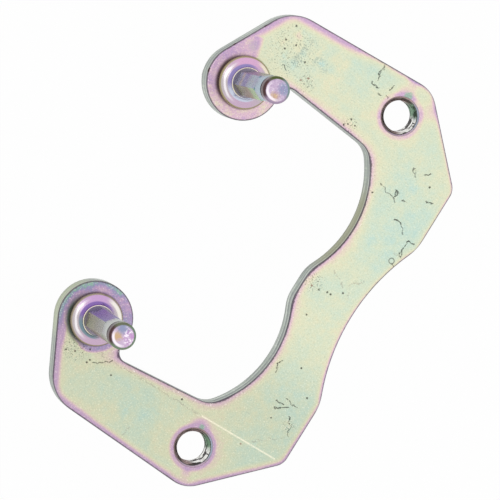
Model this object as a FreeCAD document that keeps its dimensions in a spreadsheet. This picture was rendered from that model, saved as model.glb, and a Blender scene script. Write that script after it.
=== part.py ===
"""Brake caliper bracket: a flat C-shaped steel plate with two threaded mounting holes and two fixed guide pins.

The origin is the middle of the mounting hole pattern, half way through the plate. Z points out of the front face,
the way the pins' shanks stand, Y runs along the line of the mounting holes, and X points away from the pins.
Lengths are in millimetres and angles in degrees.
"""
import FreeCAD
import Part
import Sketcher
import math
import os

Vector = FreeCAD.Vector

SIZES = [
    ("plate_thickness", 8.0, "thickness of the blanked plate"),
    ("hole_spacing", 130.0, "distance between the two mounting holes"),
    ("thread_diameter", 12.0, "outer diameter of the mounting threads"),
    ("thread_lead_in", 0.65, "chamfer at both mouths of a mounting hole"),
    ("hole_edge_distance", 13.0, "mounting hole to the outer edges around it"),
    ("hole_corner_angle", 45.5, "direction that the corner face beside a mounting hole looks in"),
    ("hole_corner_radius", 10.5, "round corner of the arm beside a mounting hole"),
    ("arm_outer_slope", 3.2, "how far the arm's outer edge falls towards the pin"),
    ("arm_inner_distance", 15.1, "mounting hole to the arm's inner edge"),
    ("ear_inner_distance", 8.38, "pin axis to the line of the arm's inner edge"),
    ("arm_end_radius", 13.7, "round corner at the outer end of the arm"),
    ("side_offset", 29.8, "hole line to the side faces of the plate"),
    ("side_corner_radius", 5.5, "round corner between the side and corner faces"),
    ("shoulder_radius", 17.5, "round shoulder between a side face and the waist"),
    ("waist_offset", 22.8, "hole line to the hollow of the waist"),
    ("waist_radius", 70.0, "hollow curve of the waist"),
    ("bay_offset", 7.0, "hole line to the bottom of the two inner bays"),
    ("bay_radius", 36.3, "hollow curve of an inner bay"),
    ("bay_corner_radius", 8.0, "round corner between a bay and the arm's inner edge"),
    ("nose_depth", 5.1, "how far the nose between the bays stands out from their bottom"),
    ("nose_width", 12.3, "flat nose between the bays, before its corners are rounded"),
    ("nose_corner_radius", 13.2, "round corners of the nose"),
    ("pin_offset", 51.3, "hole line to the pin axes"),
    ("pin_spacing", 92.0, "distance between the pin axes"),
    ("ear_radius", 12.7, "round end of an ear about its pin"),
    ("ear_flank_angle", 62.4, "slope of the straight edge between the arm's end and the ear"),
    ("notch_radius", 3.75, "hollow corner between an ear and the arm's inner edge"),
    ("front_edge_roll", 0.8, "rounding that blanking leaves on the front edges"),
    ("back_edge_chamfer", 0.4, "broken edge on the back"),
    ("press_gap", 0.01, "radial room left in the solids between a pressed pin and its bore"),
    ("seat_diameter", 12.0, "pressed length of the pin inside the plate"),
    ("flange_diameter", 17.6, "flange that stops the pin on the front face"),
    ("flange_rim_height", 2.3, "height of the flange at its rim"),
    ("flange_rise", 1.0, "how far the flange climbs from its rim to the collar"),
    ("flange_rim_chamfer", 0.6, "chamfer round the flange's rim"),
    ("collar_height", 5.2, "front face of the plate to the top of the collar"),
    ("collar_foot", 0.9, "slope that fills the corner between the flange and the collar"),
    ("collar_wall", 0.3, "width of the collar's top"),
    ("collar_recess", 0.5, "depth of the ring-shaped recess inside the collar"),
    ("recess_width", 0.4, "room between the shank's corners and the collar"),
    ("shank_flats", 8.0, "hexagonal shank across its flats"),
    ("shank_corner_cut", 0.12, "how much turning takes off the hexagon's corners"),
    ("shank_length", 28.0, "length of the hexagon"),
    ("shank_turn", 36.0, "direction of one corner of the hexagon"),
    ("neck_diameter", 8.5, "round neck past the hexagon"),
    ("neck_length", 8.0, "length of the round neck"),
    ("groove_diameter", 7.9, "bottom of the groove behind the button"),
    ("groove_width", 1.6, "width of that groove"),
    ("button_diameter", 8.9, "button at the free end of the pin"),
    ("button_height", 3.7, "height of the button"),
    ("button_chamfer", 1.0, "chamfer round the button's face"),
    ("tail_diameter", 11.4, "round tail of the pin behind the plate"),
    ("tail_length", 32.0, "how far the tail stands out of the back face"),
    ("tail_end_chamfer", 1.2, "chamfer round the tail's end"),
]

LENGTH_TOLERANCE = 1e-4

X_AXIS, Y_AXIS = -1, -2
START, END, CENTRE = 1, 2, 3
FRONT_FACE = "Sizes.plate_thickness / 2"
AXIS = "on the axis"
SEAT = "on the seat"
HEXAGON_SIDES = 6
HEXAGON_REACH = "Sizes.shank_flats / 2 / cos(30 deg)"
SHANK_RADIUS = HEXAGON_REACH + " - Sizes.shank_corner_cut"
RECESS_RADIUS = SHANK_RADIUS + " + Sizes.recess_width"
COLLAR_RADIUS = RECESS_RADIUS + " + Sizes.collar_wall"


def make_sheet(doc):
    """Writes the driving sizes to a spreadsheet, each under its own alias."""
    sheet = doc.addObject("Spreadsheet::Sheet", "Sizes")
    for row, (alias, number, note) in enumerate(SIZES, start=1):
        sheet.set("A%d" % row, alias.replace("_", " "))
        sheet.set("B%d" % row, str(number))
        sheet.set("C%d" % row, note)
        sheet.setAlias("B%d" % row, alias)
    doc.recompute()
    return sheet


def origin_plane(body, role):
    """Returns the body's own origin plane or axis with this role."""
    for feature in body.Origin.OriginFeatures:
        if feature.Role == role:
            return feature
    raise ValueError("no origin feature " + role)


def make_sketch(body, name, plane, height=None):
    """Starts a sketch on one of the body's origin planes, raised by an expression where one is given."""
    sketch = body.newObject("Sketcher::SketchObject", name)
    sketch.AttachmentSupport = [(origin_plane(body, plane), "")]
    sketch.MapMode = "FlatFace"
    if height:
        sketch.setExpression("AttachmentOffset.Base.z", height)
    return sketch


def evaluate(sketch, expression):
    """Works out an expression on the sizes, with an angle given in radians."""
    value = sketch.evalExpression(expression)
    if not isinstance(value, FreeCAD.Units.Quantity):
        return value
    if value.Unit == FreeCAD.Units.Angle:
        return value.getValueAs("rad").Value
    return value.Value


def bind(sketch, name, expression, kind, *where):
    """Adds a dimension to the sketch, with its value and its tie to the sizes from one expression."""
    value = evaluate(sketch, expression)
    index = sketch.addConstraint(Sketcher.Constraint(kind, *where, value))
    sketch.renameConstraint(index, name)
    sketch.setExpression("Constraints." + name, expression)


def direction(angle):
    """Returns the unit vector at an angle from the X axis."""
    return Vector(math.cos(math.radians(angle)), math.sin(math.radians(angle)), 0)


def crossing(normal_a, reach_a, normal_b, reach_b):
    """Returns where two lines cross, each given by its normal and its distance from the origin."""
    scale = normal_a.x * normal_b.y - normal_a.y * normal_b.x
    x = (reach_a * normal_b.y - reach_b * normal_a.y) / scale
    y = (normal_a.x * reach_b - normal_b.x * reach_a) / scale
    return Vector(x, y, 0)


def circle_crossing(normal, reach, centre, radius):
    """Returns where a nearly level line leaves a circle on its far X side."""
    offset = reach - normal.dot(centre)
    along = Vector(normal.y, -normal.x, 0)
    return centre + normal * offset + along * math.sqrt(radius ** 2 - offset ** 2)


def arc_through(centre, first, last):
    """Returns the arc that runs anticlockwise about its centre from the first point to the last."""
    radius = (first - centre).Length
    start = math.atan2(first.y - centre.y, first.x - centre.x)
    end = math.atan2(last.y - centre.y, last.x - centre.x)
    return Part.ArcOfCircle(Part.Circle(centre, Vector(0, 0, 1), radius), start, end)


def vertical_edges(shape, corners):
    """Names the straight edges through the plate's thickness at these corners and at their mirror images."""
    names = []
    for number, edge in enumerate(shape.Edges, start=1):
        low, high = edge.Vertexes[0].Point, edge.Vertexes[-1].Point
        if math.hypot(low.x - high.x, low.y - high.y) > LENGTH_TOLERANCE:
            continue
        for corner in corners:
            if math.hypot(low.x - corner.x, abs(low.y) - corner.y) < LENGTH_TOLERANCE:
                names.append("Edge%d" % number)
    return names


def level_edges(shape, height, keep):
    """Names the edges that lie at a height and pass a test."""
    names = []
    for number, edge in enumerate(shape.Edges, start=1):
        box = edge.BoundBox
        if abs(box.ZMin - height) < LENGTH_TOLERANCE and abs(box.ZMax - height) < LENGTH_TOLERANCE and keep(edge):
            names.append("Edge%d" % number)
    return names


def is_round_hole(edge):
    """Says whether an edge is a full circle."""
    return isinstance(edge.Curve, Part.Circle) and edge.isClosed()


def is_outline_edge(edge):
    """Says whether a level edge of the plate belongs to its outline."""
    return not is_round_hole(edge)


def dress(body, kind, name, edges, prop, size):
    """Adds a fillet or chamfer to named edges of the body's tip and ties its size to the sheet."""
    base = body.Tip
    feature = body.newObject("PartDesign::" + kind, name)
    feature.Base = (base, edges)
    feature.setExpression(prop, "Sizes." + size)
    body.Document.recompute()
    return feature


def outline_corners(size):
    """Works out the sharp corners of half of the plate's outline, from the waist round the ear to the nose."""
    hole = Vector(0, size("hole_spacing") / 2, 0)
    pin = Vector(-size("pin_offset"), size("pin_spacing") / 2, 0)
    nose = size("bay_offset") - size("nose_depth")
    bay_x = size("bay_offset") - size("bay_radius")
    bay_y = size("nose_width") / 2 + math.sqrt(size("bay_radius") ** 2 - (nose - bay_x) ** 2)
    bay = Vector(bay_x, bay_y, 0)
    waist = Vector(size("waist_offset") + size("waist_radius"), 0, 0)
    outer = direction(90 + size("arm_outer_slope"))
    outer_reach = outer.dot(hole) + size("hole_edge_distance")
    corner = direction(size("hole_corner_angle"))
    corner_reach = corner.dot(hole) + size("hole_edge_distance")
    flank = direction(90 + size("ear_flank_angle"))
    flank_reach = flank.dot(pin) + size("ear_radius")
    span = hole - pin
    inner_rise = size("arm_inner_distance") + size("ear_inner_distance")
    inner = direction(math.degrees(math.atan2(span.y, span.x) + math.acos(inner_rise / span.Length)))
    inner_reach = inner.dot(hole) - size("arm_inner_distance")
    side = size("side_offset")
    shoulder_height = math.sqrt(size("waist_radius") ** 2 - (waist.x - side) ** 2)
    return {
        "hole": hole,
        "pin": pin,
        "bay": bay,
        "waist_centre": waist,
        "waist": Vector(size("waist_offset"), 0, 0),
        "shoulder": Vector(side, shoulder_height, 0),
        "side_corner": crossing(Vector(1, 0, 0), side, corner, corner_reach),
        "hole_corner": crossing(corner, corner_reach, outer, outer_reach),
        "arm_end": crossing(outer, outer_reach, flank, flank_reach),
        "flank_end": pin + flank * size("ear_radius"),
        "notch": circle_crossing(inner, inner_reach, pin, size("ear_radius")),
        "bay_corner": circle_crossing(inner, inner_reach, bay, size("bay_radius")),
        "nose_corner": Vector(nose, size("nose_width") / 2, 0),
        "nose": Vector(nose, 0, 0),
    }


def draw_half_outline(body, points):
    """Draws half of the plate's outline with sharp corners and ties it to the sizes."""
    sketch = make_sketch(body, "HalfOutline", "XY_Plane", FRONT_FACE)
    waist = sketch.addGeometry(arc_through(points["waist_centre"], points["shoulder"], points["waist"]))
    side = sketch.addGeometry(Part.LineSegment(points["shoulder"], points["side_corner"]))
    corner = sketch.addGeometry(Part.LineSegment(points["side_corner"], points["hole_corner"]))
    outer = sketch.addGeometry(Part.LineSegment(points["arm_end"], points["hole_corner"]))
    flank = sketch.addGeometry(Part.LineSegment(points["flank_end"], points["arm_end"]))
    ear = sketch.addGeometry(arc_through(points["pin"], points["flank_end"], points["notch"]))
    inner = sketch.addGeometry(Part.LineSegment(points["notch"], points["bay_corner"]))
    bay = sketch.addGeometry(arc_through(points["bay"], points["nose_corner"], points["bay_corner"]))
    nose = sketch.addGeometry(Part.LineSegment(points["nose_corner"], points["nose"]))
    middle = sketch.addGeometry(Part.LineSegment(points["nose"], points["waist"]))
    hole = sketch.addGeometry(Part.Point(points["hole"]), True)
    joints = [
        (waist, START, side, START), (side, END, corner, START), (corner, END, outer, END),
        (outer, START, flank, END), (ear, END, inner, START), (inner, END, bay, END),
        (bay, START, nose, START), (nose, END, middle, START), (middle, END, waist, END),
    ]
    for joint in joints:
        sketch.addConstraint(Sketcher.Constraint("Coincident", *joint))
    sketch.addConstraint(Sketcher.Constraint("Tangent", flank, START, ear, START))
    sketch.addConstraint(Sketcher.Constraint("Vertical", side))
    sketch.addConstraint(Sketcher.Constraint("Vertical", nose))
    sketch.addConstraint(Sketcher.Constraint("PointOnObject", nose, END, X_AXIS))
    sketch.addConstraint(Sketcher.Constraint("PointOnObject", waist, END, X_AXIS))
    sketch.addConstraint(Sketcher.Constraint("PointOnObject", waist, CENTRE, X_AXIS))
    sketch.addConstraint(Sketcher.Constraint("PointOnObject", hole, START, Y_AXIS))
    origin = (X_AXIS, START)
    bind(sketch, "hole_height", "Sizes.hole_spacing / 2", "DistanceY", *origin, hole, START)
    bind(sketch, "waist_offset", "Sizes.waist_offset", "DistanceX", *origin, waist, END)
    bind(sketch, "waist_radius", "Sizes.waist_radius", "Radius", waist)
    bind(sketch, "side_offset", "Sizes.side_offset", "DistanceX", *origin, side, START)
    bind(sketch, "corner_distance", "Sizes.hole_edge_distance", "Distance", hole, START, corner)
    bind(sketch, "corner_slope", "(90 + Sizes.hole_corner_angle) * 1 deg", "Angle", corner)
    bind(sketch, "outer_distance", "Sizes.hole_edge_distance", "Distance", hole, START, outer)
    bind(sketch, "outer_slope", "Sizes.arm_outer_slope * 1 deg", "Angle", outer)
    bind(sketch, "flank_slope", "Sizes.ear_flank_angle * 1 deg", "Angle", flank)
    bind(sketch, "ear_radius", "Sizes.ear_radius", "Radius", ear)
    bind(sketch, "pin_offset", "-Sizes.pin_offset", "DistanceX", *origin, ear, CENTRE)
    bind(sketch, "pin_height", "Sizes.pin_spacing / 2", "DistanceY", *origin, ear, CENTRE)
    bind(sketch, "inner_distance", "Sizes.arm_inner_distance", "Distance", hole, START, inner)
    bind(sketch, "ear_inner_distance", "Sizes.ear_inner_distance", "Distance", ear, CENTRE, inner)
    bind(sketch, "bay_radius", "Sizes.bay_radius", "Radius", bay)
    bind(sketch, "bay_offset", "Sizes.bay_offset - Sizes.bay_radius", "DistanceX", *origin, bay, CENTRE)
    bind(sketch, "nose_offset", "Sizes.bay_offset - Sizes.nose_depth", "DistanceX", *origin, nose, END)
    bind(sketch, "nose_height", "Sizes.nose_width / 2", "DistanceY", *origin, nose, START)
    return sketch


def cut_round_holes(body, name, height, diameter, offset=None):
    """Cuts a pair of round holes through the plate, one in each half, on the hole line or off it by an expression."""
    sketch = make_sketch(body, name + "Centres", "XY_Plane", FRONT_FACE)
    x = evaluate(sketch, offset) if offset else 0
    for half, side in (("upper", ""), ("lower", "-")):
        centre = Vector(x, evaluate(sketch, side + height), 0)
        radius = evaluate(sketch, diameter) / 2
        circle = sketch.addGeometry(Part.Circle(centre, Vector(0, 0, 1), radius))
        bind(sketch, half + "_height", side + height, "DistanceY", X_AXIS, START, circle, CENTRE)
        bind(sketch, half + "_diameter", diameter, "Diameter", circle)
        if offset:
            bind(sketch, half + "_offset", offset, "DistanceX", X_AXIS, START, circle, CENTRE)
        else:
            sketch.addConstraint(Sketcher.Constraint("PointOnObject", circle, CENTRE, Y_AXIS))
    pocket = body.newObject("PartDesign::Pocket", name)
    pocket.Profile = sketch
    pocket.Type = "ThroughAll"
    body.Document.recompute()


def make_plate(doc, size):
    """Makes the plate: its blanked outline, the round corners, the holes and the broken edges."""
    body = doc.addObject("PartDesign::Body", "bracket_plate")
    points = outline_corners(size)
    pad = body.newObject("PartDesign::Pad", "HalfBlank")
    pad.Profile = draw_half_outline(body, points)
    pad.setExpression("Length", "Sizes.plate_thickness")
    pad.Reversed = True
    doc.recompute()
    mirror = body.newObject("PartDesign::Mirrored", "WholeBlank")
    mirror.Originals = [pad]
    mirror.MirrorPlane = (origin_plane(body, "XZ_Plane"), [""])
    body.Tip = mirror
    doc.recompute()
    rounds = [
        ("hole_corner", "hole_corner_radius"), ("side_corner", "side_corner_radius"),
        ("shoulder", "shoulder_radius"), ("arm_end", "arm_end_radius"), ("bay_corner", "bay_corner_radius"),
        ("notch", "notch_radius"), ("nose_corner", "nose_corner_radius"),
    ]
    for corner, radius in rounds:
        edges = vertical_edges(body.Tip.Shape, [points[corner]])
        dress(body, "Fillet", corner.title().replace("_", ""), edges, "Radius", radius)
    cut_round_holes(body, "MountingHoles", "Sizes.hole_spacing / 2", "Sizes.thread_diameter")
    front = size("plate_thickness") / 2
    mouths = level_edges(body.Tip.Shape, front, is_round_hole) + level_edges(body.Tip.Shape, -front, is_round_hole)
    dress(body, "Chamfer", "ThreadLeadIns", mouths, "Size", "thread_lead_in")
    bore = "Sizes.seat_diameter + 2 * Sizes.press_gap"
    cut_round_holes(body, "PinBores", "Sizes.pin_spacing / 2", bore, "-Sizes.pin_offset")
    edges = level_edges(body.Tip.Shape, front, is_outline_edge)
    dress(body, "Fillet", "FrontEdge", edges, "Radius", "front_edge_roll")
    edges = level_edges(body.Tip.Shape, -front, is_outline_edge)
    dress(body, "Chamfer", "BackEdge", edges, "Size", "back_edge_chamfer")
    return body


def pin_section():
    """Lists the corners of half of the pin's section, each with its radius and its height above the pin's seat."""
    shank_root = "Sizes.collar_height - Sizes.collar_recess"
    shank_end = shank_root + " + Sizes.shank_length"
    neck_end = shank_end + " + Sizes.neck_length"
    groove_end = neck_end + " + Sizes.groove_width"
    button_end = groove_end + " + Sizes.button_height"
    flange_top = "Sizes.flange_rim_height + Sizes.flange_rise"
    back = "-Sizes.plate_thickness"
    tail_end = back + " - Sizes.tail_length"
    return [
        ("TailCentre", AXIS, tail_end),
        ("TailEnd", "Sizes.tail_diameter / 2", tail_end),
        ("TailRoot", "Sizes.tail_diameter / 2", back),
        ("SeatBack", "Sizes.seat_diameter / 2", back),
        ("SeatFront", "Sizes.seat_diameter / 2", SEAT),
        ("FlangeFoot", "Sizes.flange_diameter / 2", SEAT),
        ("FlangeRim", "Sizes.flange_diameter / 2", "Sizes.flange_rim_height"),
        ("CollarFoot", COLLAR_RADIUS, flange_top),
        ("CollarTop", COLLAR_RADIUS, "Sizes.collar_height"),
        ("RecessTop", RECESS_RADIUS, "Sizes.collar_height"),
        ("RecessWall", RECESS_RADIUS, shank_root),
        ("ShankRoot", SHANK_RADIUS, shank_root),
        ("ShankEnd", SHANK_RADIUS, shank_end),
        ("NeckRoot", "Sizes.neck_diameter / 2", shank_end),
        ("NeckEnd", "Sizes.neck_diameter / 2", neck_end),
        ("GrooveFront", "Sizes.groove_diameter / 2", neck_end),
        ("GrooveBack", "Sizes.groove_diameter / 2", groove_end),
        ("ButtonBack", "Sizes.button_diameter / 2", groove_end),
        ("ButtonRim", "Sizes.button_diameter / 2", button_end),
        ("ButtonCentre", AXIS, button_end),
    ]


def draw_section(body, corners):
    """Draws the pin's section as straight lines between its corners and ties each corner to the sizes."""
    sketch = make_sketch(body, "Section", "XZ_Plane")
    points = []
    for name, radius, height in corners:
        x = 0 if radius == AXIS else evaluate(sketch, radius)
        y = 0 if height == SEAT else evaluate(sketch, height)
        points.append(Vector(x, y, 0))
    lines = [sketch.addGeometry(Part.LineSegment(points[i - 1], points[i])) for i in range(len(points))]
    for i, line in enumerate(lines):
        sketch.addConstraint(Sketcher.Constraint("Coincident", lines[i - 1], END, line, START))
    for line, (name, radius, height) in zip(lines, corners):
        if radius == AXIS:
            sketch.addConstraint(Sketcher.Constraint("PointOnObject", line, END, Y_AXIS))
        else:
            bind(sketch, name + "Radius", radius, "DistanceX", X_AXIS, START, line, END)
        if height == SEAT:
            sketch.addConstraint(Sketcher.Constraint("PointOnObject", line, END, X_AXIS))
        else:
            bind(sketch, name + "Height", height, "DistanceY", X_AXIS, START, line, END)
    return sketch


def draw_flats(body):
    """Draws the ring that is milled away round the hexagonal shank."""
    sketch = make_sketch(body, "FlatsOutline", "XY_Plane", "Sizes.collar_height - Sizes.collar_recess")
    centre = Vector(0, 0, 0)
    clear_radius = HEXAGON_REACH + " + Sizes.recess_width / 2"
    reach = evaluate(sketch, HEXAGON_REACH)
    turn = evaluate(sketch, "Sizes.shank_turn")
    corners = [direction(turn + 360 / HEXAGON_SIDES * i) * reach for i in range(HEXAGON_SIDES)]
    clear = sketch.addGeometry(Part.Circle(centre, Vector(0, 0, 1), evaluate(sketch, clear_radius)))
    guide = sketch.addGeometry(Part.Circle(centre, Vector(0, 0, 1), reach), True)
    spoke = sketch.addGeometry(Part.LineSegment(centre, corners[0]), True)
    sides = [sketch.addGeometry(Part.LineSegment(corners[i - 1], corners[i])) for i in range(HEXAGON_SIDES)]
    for circle in (clear, guide):
        sketch.addConstraint(Sketcher.Constraint("Coincident", circle, CENTRE, X_AXIS, START))
    sketch.addConstraint(Sketcher.Constraint("Coincident", spoke, START, X_AXIS, START))
    sketch.addConstraint(Sketcher.Constraint("Coincident", spoke, END, sides[0], END))
    for i, side in enumerate(sides):
        sketch.addConstraint(Sketcher.Constraint("Coincident", sides[i - 1], END, side, START))
        sketch.addConstraint(Sketcher.Constraint("PointOnObject", side, END, guide))
    for side in sides[1:]:
        sketch.addConstraint(Sketcher.Constraint("Equal", sides[0], side))
    bind(sketch, "ClearRadius", clear_radius, "Radius", clear)
    bind(sketch, "CornerRadius", HEXAGON_REACH, "Radius", guide)
    bind(sketch, "Turn", "Sizes.shank_turn * 1 deg", "Angle", spoke)
    return sketch


def ring_edges(shape, radius, height):
    """Names the full circles about the pin's axis with this radius at this height."""
    def is_ring(edge):
        return is_round_hole(edge) and abs(edge.Curve.Radius - radius) < LENGTH_TOLERANCE
    return level_edges(shape, height, is_ring)


def make_pin(doc, name, y_expression):
    """Makes one guide pin from its seat on the plate's front face: turned, milled to a hexagon and chamfered."""
    body = doc.addObject("PartDesign::Body", name)
    corners = pin_section()
    section = draw_section(body, corners)
    turned = body.newObject("PartDesign::Revolution", "Turned")
    turned.Profile = section
    turned.ReferenceAxis = (section, ["V_Axis"])
    turned.Angle = 360
    doc.recompute()
    flats = body.newObject("PartDesign::Pocket", "Flats")
    flats.Profile = draw_flats(body)
    flats.setExpression("Length", "Sizes.shank_length")
    flats.Reversed = True
    doc.recompute()
    places = {corner: (radius, height) for corner, radius, height in corners}
    chamfers = [
        ("TailEnd", "tail_end_chamfer"), ("FlangeRim", "flange_rim_chamfer"), ("CollarFoot", "collar_foot"),
        ("ButtonRim", "button_chamfer"),
    ]
    for corner, alias in chamfers:
        radius, height = [evaluate(section, text) for text in places[corner]]
        dress(body, "Chamfer", corner + "Slope", ring_edges(body.Tip.Shape, radius, height), "Size", alias)
    body.setExpression("Placement.Base.x", "-Sizes.pin_offset")
    body.setExpression("Placement.Base.y", y_expression)
    body.setExpression("Placement.Base.z", FRONT_FACE)
    doc.recompute()
    return body


def check(doc, bodies):
    """Stops with a message if a feature failed or a sub-part isn't one sound solid."""
    for item in doc.Objects:
        if "Invalid" in item.State or "Error" in item.State:
            raise RuntimeError("%s failed: %s" % (item.Name, item.State))
    for body in bodies:
        shape = body.Shape
        if shape.isNull() or not shape.isValid() or len(shape.Solids) != 1:
            raise RuntimeError(body.Label + " is not one valid solid")


def main():
    doc = FreeCAD.newDocument("CaliperBracket")
    sheet = make_sheet(doc)
    bodies = [
        make_plate(doc, sheet.get),
        make_pin(doc, "upper_guide_pin", "Sizes.pin_spacing / 2"),
        make_pin(doc, "lower_guide_pin", "-Sizes.pin_spacing / 2"),
    ]
    doc.recompute()
    check(doc, bodies)
    os.makedirs("parts", exist_ok=True)
    for body in bodies:
        body.Shape.exportStep("parts/%s.step" % body.Label)
        print("%s: %.1f cubic millimetres" % (body.Label, body.Shape.Volume))


main()
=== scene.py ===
"""Dresses the brake caliper bracket: cut threads, turned guide pins and an iridescent yellow zinc finish."""

import math

import bmesh
import bpy
from bpy.props import FloatProperty, FloatVectorProperty, PointerProperty
from mathutils import Matrix, Vector


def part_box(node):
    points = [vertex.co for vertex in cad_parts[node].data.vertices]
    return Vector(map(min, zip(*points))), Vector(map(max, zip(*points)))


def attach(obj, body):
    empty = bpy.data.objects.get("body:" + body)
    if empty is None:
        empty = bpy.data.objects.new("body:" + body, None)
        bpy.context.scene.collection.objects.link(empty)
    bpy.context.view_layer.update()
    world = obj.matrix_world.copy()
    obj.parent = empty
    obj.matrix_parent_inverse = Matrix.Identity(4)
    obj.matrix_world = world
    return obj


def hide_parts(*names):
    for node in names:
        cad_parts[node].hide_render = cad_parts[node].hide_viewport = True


bl_info = {
    "name": "Brake Caliper Bracket",
    "version": (1, 0, 0),
    "blender": (4, 5, 0),
    "location": "3D View > Sidebar > Bracket",
    "description": "Cuts threads, turns guide pins and paints a yellow zinc coat on a flat caliper bracket",
    "category": "Object",
}

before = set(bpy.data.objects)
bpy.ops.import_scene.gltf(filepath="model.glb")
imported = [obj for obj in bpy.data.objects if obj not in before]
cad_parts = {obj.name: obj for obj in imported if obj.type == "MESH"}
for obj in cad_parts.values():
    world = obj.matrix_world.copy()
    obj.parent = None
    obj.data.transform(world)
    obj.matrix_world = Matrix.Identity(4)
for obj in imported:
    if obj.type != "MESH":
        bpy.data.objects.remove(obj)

MM = 0.001
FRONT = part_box("bracket_plate")[1].z / MM
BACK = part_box("bracket_plate")[0].z / MM
HALF_HOLES = 65.0
PIN_X, PIN_Y = -51.3, 46.0
EAR_RADIUS = 12.7
EDGE = 0.05 * MM
MERGE_DISTANCE = 1e-7
SHARP_ANGLE = math.radians(30)
SIXTH = math.tau / 6

SHANK_RADIUS = 4.5
SHANK_FOOT = 4.7
NECK_START = 32.7
GROOVE_START = 40.7
BUTTON_START = 42.3
PIN_TOP = 46.0
TAIL_END = -40.0
SEAT_END = -8.0
FLAT_ANGLES = {"upper": 6.0, "lower": 19.0}
PIN_STEPS = 144
ROUNDING_STEPS = 5
# Corners of the pin's outline: radius, height over the front face and rounding, all in millimetres.
PIN_PROFILE = [
    (0.0, TAIL_END, 0),
    (5.7, TAIL_END, 1.2),
    (5.7, SEAT_END, 0),
    (6.0, SEAT_END, 0),
    (6.0, 0.0, 0),
    (8.8, 0.0, 0.15),
    (8.8, 2.3, 0.7),
    (5.2, 3.3, 1.2),
    (5.2, 5.2, 0.12),
    (4.9, 5.2, 0.1),
    (4.9, SHANK_FOOT, 0),
    (SHANK_RADIUS, SHANK_FOOT, 0),
    (SHANK_RADIUS, NECK_START, 0),
    (4.25, NECK_START, 0),
    (4.25, GROOVE_START, 0.12),
    (3.95, GROOVE_START, 0.1),
    (3.95, BUTTON_START, 0.1),
    (4.45, BUTTON_START, 0.12),
    (4.45, PIN_TOP, 1.0),
    (0.0, PIN_TOP, 0),
]

THREAD_STEPS = 72
THREAD_ROOT = 0.05
RIDGE_ROOT = 0.42
RIDGE_CREST = 0.12
MOUTH_RADIUS = 6.65

FLOOR_SIZE = 4.0
FLOOR_GAP = 0.0002
FLOOR_GREY = 0.95
FLOOR_GLOW = 0.975
DIFFUSE_LIGHT = 0.7
# Name, place, width in metres and power in watts of each lamp; all point at the origin.
LAMPS = (
    ("Overhead light", (0.42, 0.06, 1.6), 1.5, 0.8),
    ("Side light", (-0.9, 0.1, 1.5), 0.5, 0.8),
)
FOCAL_LENGTH = 253.02
CAMERA_PLACE = (-0.307135, -0.043591, 1.131831)
CAMERA_RIGHT = (0.81673, 0.529598, 0.229079)
CAMERA_UP = (-0.521456, 0.847405, -0.099945)
CAMERA_BACK = (-0.247053, -0.037827, 0.968263)


def linear(*channels):
    """Returns a colour written as screen levels from 0 to 255 in the linear form that shaders take."""
    levels = [c / 255 for c in channels]
    return tuple(v / 12.92 if v <= 0.04045 else ((v + 0.055) / 1.055) ** 2.4 for v in levels)


def unit(angle):
    """Returns the level unit vector at an angle in degrees from the X axis."""
    return Vector((math.cos(math.radians(angle)), math.sin(math.radians(angle)), 0))


class Field:
    """A number that varies over a surface: a shader socket that takes part in arithmetic."""

    def __init__(self, paint, socket):
        self.paint = paint
        self.socket = socket

    def __add__(self, other):
        return self.paint.math("ADD", self, other)

    def __sub__(self, other):
        return self.paint.math("SUBTRACT", self, other)

    def __rsub__(self, other):
        return self.paint.math("SUBTRACT", other, self)

    def __mul__(self, other):
        return self.paint.math("MULTIPLY", self, other)

    def __abs__(self):
        return self.paint.math("ABSOLUTE", self)

    __radd__ = __add__
    __rmul__ = __mul__


class Nodes:
    """The nodes of one material, or of the world."""

    def __init__(self, owner):
        self.owner = owner
        owner.use_nodes = True
        self.tree = owner.node_tree
        self.tree.nodes.clear()

    def node(self, kind, settings=None, values=None):
        """Adds a node, makes its settings and then feeds its sockets with numbers or links."""
        node = self.tree.nodes.new(kind)
        for name, setting in (settings or {}).items():
            setattr(node, name, setting)
        for key, value in (values or {}).items():
            value = value.socket if isinstance(value, Field) else value
            if isinstance(value, bpy.types.NodeSocket):
                self.tree.links.new(value, node.inputs[key])
            else:
                node.inputs[key].default_value = value
        return node

    def math(self, operation, *values):
        node = self.node("ShaderNodeMath", {"operation": operation}, dict(enumerate(values)))
        return Field(self, node.outputs[0])

    def least(self, *values):
        result = values[0]
        for value in values[1:]:
            result = self.math("MINIMUM", result, value)
        return result

    def most(self, *values):
        result = values[0]
        for value in values[1:]:
            result = self.math("MAXIMUM", result, value)
        return result


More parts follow.
